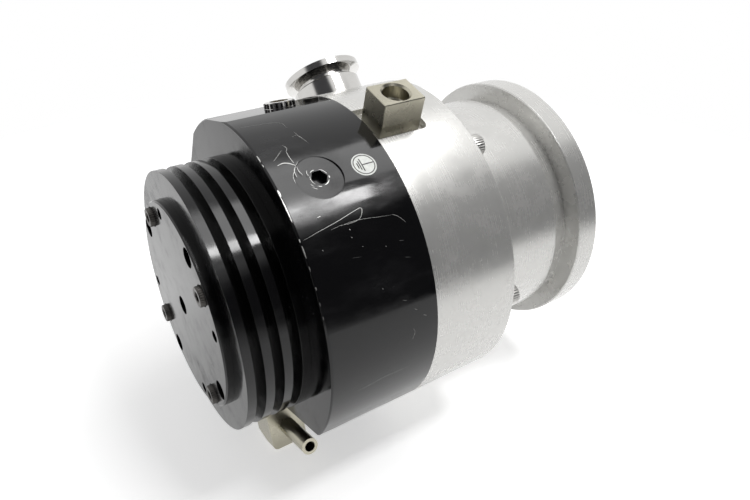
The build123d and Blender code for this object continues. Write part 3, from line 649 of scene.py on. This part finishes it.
def plug_burrs():
    """Bright burrs where a key has worn the side plug's socket."""
    face = side_place(plug_angle, base_bottom + plug_rise, -plug_sink)
    place = facing(face, side_place(plug_angle, 0).normalized())
    burrs = [                     # start and sweep in degrees, radius and width in mm
        (10, 60, 3.75, 0.25),
        (95, 35, 3.9, 0.3),
        (150, 70, 3.7, 0.18),
        (235, 25, 4.1, 0.3),
        (275, 55, 3.8, 0.4),
        (340, 18, 4.0, 0.5),
        (200, 20, 5.0, 0.15),
        (215, 24, 5.6, 0.18),
    ]
    steps = 8
    faces = [(2 * step, 2 * step + 1, 2 * step + 3, 2 * step + 2) for step in range(steps)]
    marks = []
    for start, sweep, reach, width in burrs:
        points = []
        for step in range(steps + 1):
            turn = radians(start + sweep * step / steps)
            swell = width * sin(pi * (step + 0.4) / (steps + 0.8)) / 2
            for side in (-swell, swell):
                spot = Vector((cos(turn) * (reach + side), sin(turn) * (reach + side), 0)) * MM
                spot.z = mark_height
                points.append(place @ spot)
        marks.append((points, faces))
    add_piece("plug_burrs", *gather(marks), bare_mark, "bare_aluminium", 60)


def sign_spot(sideways, along):
    """Angle and level in mm of a place on the earth sign, from its middle in mm."""
    return (earth_sign_angle + sideways * degrees(MM / body_radius), earth_sign_level / MM + along)


def earth_sign_disc():
    """Round white sticker, in rings so that it follows the body's side."""
    rings, steps = 12, 64
    points = [side_place(earth_sign_angle, earth_sign_level, sticker_height)]
    faces = []
    for ring in range(1, rings + 1):
        reach = earth_sign_radius * ring / rings
        for step in range(steps):
            turn = 2 * pi * step / steps
            angle, level = sign_spot(reach * cos(turn), reach * sin(turn))
            points.append(side_place(angle, level * MM, sticker_height))
            after = (step + 1) % steps
            inner, outer = 1 + (ring - 2) * steps, 1 + (ring - 1) * steps
            if ring == 1:
                faces.append((0, outer + step, outer + after))
            else:
                faces.append((inner + step, inner + after, outer + after, outer + step))
    add_piece("earth_sign_disc", points, faces, sign_white, "black_anodised", 60)


def earth_sign_marks():
    """The common protective-earth sign: a circle, a stem and three bars."""
    height = 2 * sticker_height
    circle = []
    for step in range(33):
        turn = pi * step / 16
        circle.append(sign_spot(earth_circle_radius * cos(turn), earth_circle_radius * sin(turn)))
    marks = [stroke(circle, earth_circle_width, height, False)]
    bars = ((-1.0, 3.0), (-1.95, 2.1), (-2.8, 1.3))     # level and half length of each
    for along, half in bars:
        bar = [sign_spot(-half, along), sign_spot(half, along)]
        marks.append(stroke(bar, earth_bar_width, height, False))
    stem = [sign_spot(0, bars[0][0]), sign_spot(0, earth_stem_end)]
    marks.append(stroke(stem, earth_bar_width, height, False))
    add_piece("earth_sign_marks", *gather(marks), sign_black, "black_anodised", 60)


def make_pieces():
    """Every piece that the scene adds to the CAD nodes."""
    envelope_bolts()
    cover_screws()
    connector_grip()
    vent_thread()
    hose_lining()
    scratches()
    plug_burrs()
    earth_sign_disc()
    earth_sign_marks()


# ---- stage ------------------------------------------------------------------------------------------
def seen_ray(tree):
    """1 for a ray from the camera, or one that a gloss or a glass sends on; 0 for light on surfaces."""
    path = tree.nodes.new("ShaderNodeLightPath")
    seen = path.outputs["Is Camera Ray"]
    for other in ("Is Glossy Ray", "Is Transmission Ray"):
        larger = tree.nodes.new("ShaderNodeMath")
        larger.operation = "MAXIMUM"
        tree.links.new(seen, larger.inputs[0])
        tree.links.new(path.outputs[other], larger.inputs[1])
        seen = larger.outputs["Value"]
    return seen


def make_world():
    """White studio with dim sides that only reflections show; it lights the object less than it is seen."""
    world = bpy.data.worlds.new("studio")
    bpy.context.scene.world = world
    world.use_nodes = True
    tree = world.node_tree
    background = tree.nodes["Background"]
    where = tree.nodes.new("ShaderNodeTexCoord")
    colour = None
    for height, turn, reach in dim_sides:
        dot = tree.nodes.new("ShaderNodeVectorMath")
        dot.operation = "DOT_PRODUCT"
        dot.inputs[1].default_value = around(height, turn)
        tree.links.new(where.outputs["Generated"], dot.inputs[0])
        shade = tree.nodes.new("ShaderNodeValToRGB")
        shade.color_ramp.interpolation = "EASE"
        first, last = shade.color_ramp.elements
        first.position = cos(radians(reach + 4))
        first.color = (1, 1, 1, 1)
        last.position = cos(radians(reach - 3))
        last.color = dim_colour
        tree.links.new(dot.outputs["Value"], shade.inputs["Fac"])
        if colour is None:
            colour = shade.outputs["Color"]
        else:
            darker = tree.nodes.new("ShaderNodeVectorMath")
            darker.operation = "MINIMUM"
            tree.links.new(colour, darker.inputs[0])
            tree.links.new(shade.outputs["Color"], darker.inputs[1])
            colour = darker.outputs["Vector"]
    path = tree.nodes.new("ShaderNodeLightPath")
    plain = tree.nodes.new("ShaderNodeVectorMath")
    plain.operation = "MAXIMUM"
    tree.links.new(colour, plain.inputs[0])
    tree.links.new(path.outputs["Is Camera Ray"], plain.inputs[1])
    tree.links.new(plain.outputs["Vector"], background.inputs["Color"])
    level = tree.nodes.new("ShaderNodeMapRange")
    level.inputs["To Min"].default_value = world_level
    tree.links.new(seen_ray(tree), level.inputs["Value"])
    tree.links.new(level.outputs["Result"], background.inputs["Strength"])


def make_floor():
    """The round white table under the lying pump, seen from its upper side only."""
    low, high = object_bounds()
    middle = Vector((0, 0, (low.z + high.z) / 2)) - up * (body_radius + floor_gap)
    steps = 96
    turns = [2 * pi * step / steps for step in range(steps)]
    rim = [middle + (across * cos(turn) + Vector((0, 0, sin(turn)))) * floor_radius for turn in turns]
    mesh = bpy.data.meshes.new("floor")
    mesh.from_pydata(rim, [], [list(range(steps))])
    floor = bpy.data.objects.new("floor", mesh)
    bpy.context.scene.collection.objects.link(floor)
    mesh.update()
    if mesh.polygons[0].normal.dot(up) < 0:
        mesh.flip_normals()
    made = Shader("pale_floor")
    made.set(Base_Color=(0.92, 0.92, 0.92, 1), Roughness=0.7, Emission_Color=(1, 1, 1, 1))
    made.link(made.math("MULTIPLY", seen_ray(made.tree), floor_glow), made.bsdf.inputs["Emission Strength"])
    clear = made.node("ShaderNodeBsdfTransparent")
    side = made.node("ShaderNodeNewGeometry")
    mix = made.node("ShaderNodeMixShader")
    made.link(side.outputs["Backfacing"], mix.inputs["Fac"])
    made.link(made.bsdf.outputs["BSDF"], mix.inputs[1])
    made.link(clear.outputs["BSDF"], mix.inputs[2])
    made.link(mix.outputs["Shader"], made.tree.nodes["Material Output"].inputs["Surface"])
    mesh.materials.append(made.material)


def make_lamp(name, elevation, turn, width, height, power):
    """One soft rectangular lamp round the pump, aimed at the middle of its base."""
    target = Vector((0, 0, base_bottom + aim_rise))
    place = target + around(elevation, turn) * lamp_distance
    lamp = bpy.data.lights.new(name, "AREA")
    lamp.shape = "RECTANGLE"
    lamp.size = width
    lamp.size_y = height
    lamp.energy = power
    item = bpy.data.objects.new(name, lamp)
    item.location = place
    item.rotation_mode = "QUATERNION"
    item.rotation_quaternion = (target - place).to_track_quat("-Z", "Y")
    bpy.context.scene.collection.objects.link(item)


def make_camera():
    """Camera above the lying pump, looking at its motor end."""
    camera = bpy.data.objects.new("camera", bpy.data.cameras.new("camera"))
    forward = camera_forward.normalized()
    right = (camera_right - forward * camera_right.dot(forward)).normalized()
    above = right.cross(forward)
    turn = Matrix((right, above, -forward)).transposed()
    camera.matrix_world = Matrix.Translation(camera_place) @ turn.to_4x4()
    camera.data.sensor_width = 36
    camera.data.lens = camera_lens
    camera.data.clip_start = 0.01
    bpy.context.scene.collection.objects.link(camera)
    bpy.context.scene.camera = camera


make_world()
make_floor()
make_camera()
make_lamp("spot_softbox", 62, -52, 0.12, 0.32, 3.0)
make_lamp("wide_softbox", 60, 2, 0.40, 0.18, 0.75)
make_lamp("overhead_softbox", 76, -8, 0.50, 0.30, 1.9)
dress_nodes()
make_pieces()
bpy.context.scene.view_settings.view_transform = "Standard"
